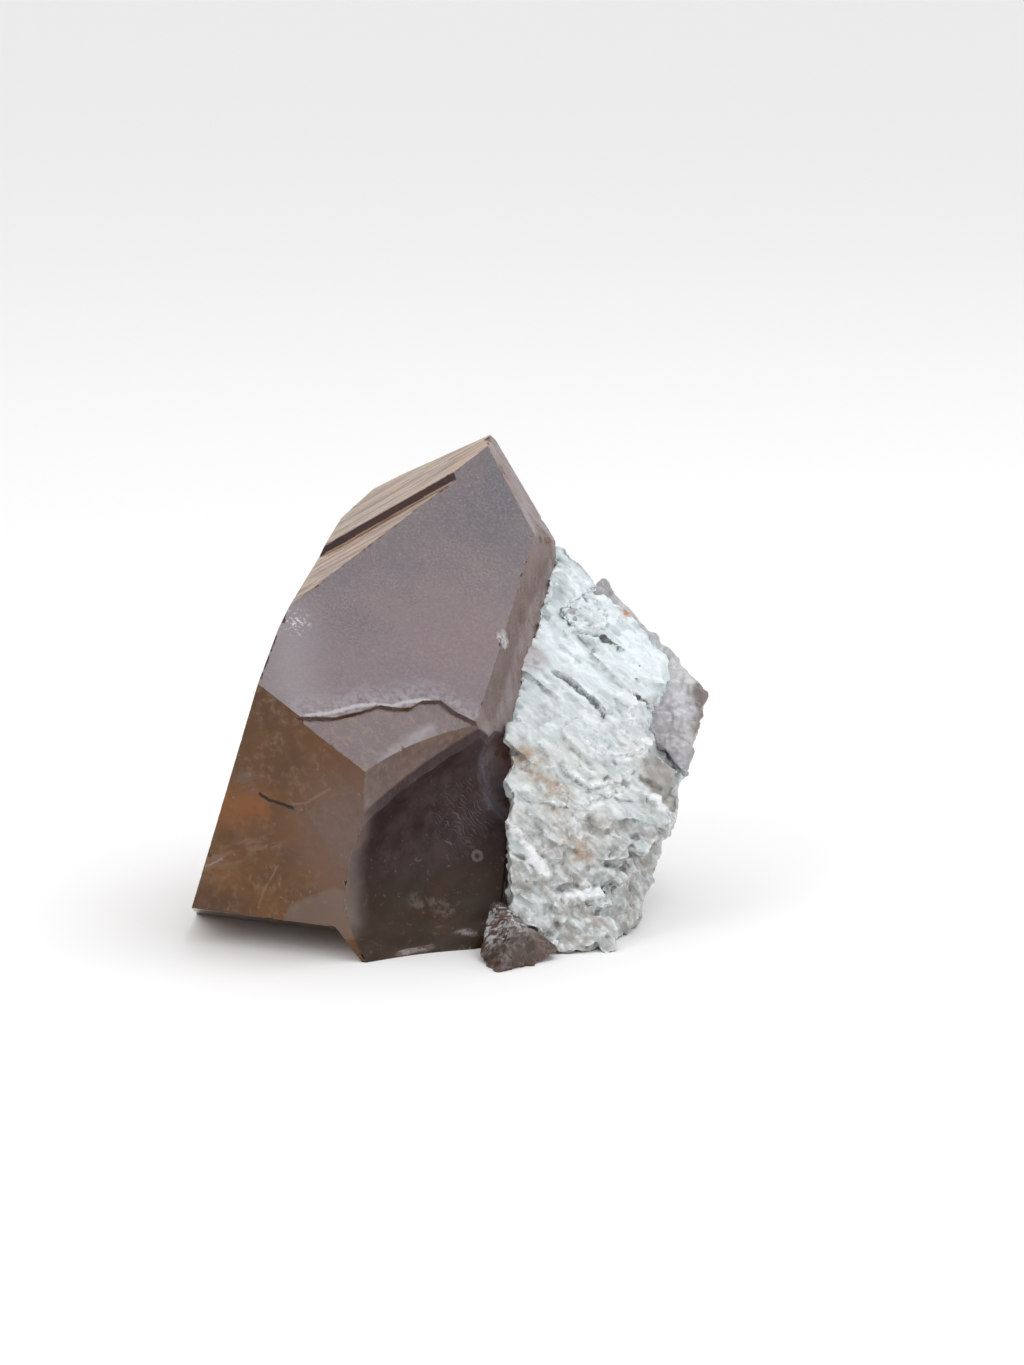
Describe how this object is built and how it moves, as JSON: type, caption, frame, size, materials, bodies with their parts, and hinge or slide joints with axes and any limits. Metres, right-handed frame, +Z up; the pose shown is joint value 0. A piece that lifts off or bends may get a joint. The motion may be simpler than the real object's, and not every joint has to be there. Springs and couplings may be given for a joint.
{
  "type": "smoky quartz crystal on feldspar",
  "caption": "Blunt smoky quartz crystal with flat growth faces and shell-shaped breaks, grown against a flaky white feldspar lump; stands on its foot.",
  "frame": {"origin": "middle of the bounding box in plan, on the surface that the specimen stands on", "axes": "+Z up as it stands, +X to the right in the picture, along its longest side, +Y away from the viewer"},
  "size_m": [0.0636, 0.0552, 0.0559],
  "materials": {
    "smoky_quartz": "clear brown crystal, glossy growth faces, glassy shell-shaped breaks, pale inner veils",
    "feldspar": "white to pale green-grey, pearly cleavage blades and rough grains",
    "grey_quartz": "grey-brown, cloudy, half rough",
    "dark_quartz": "dark brown, cloudy, with white flakes"
  },
  "bodies": {
    "root": {"smoky_quartz": "smoky_quartz", "feldspar": "feldspar", "shoulder_quartz": "grey_quartz", "foot_quartz": "dark_quartz"}
  },
  "joints": []
}
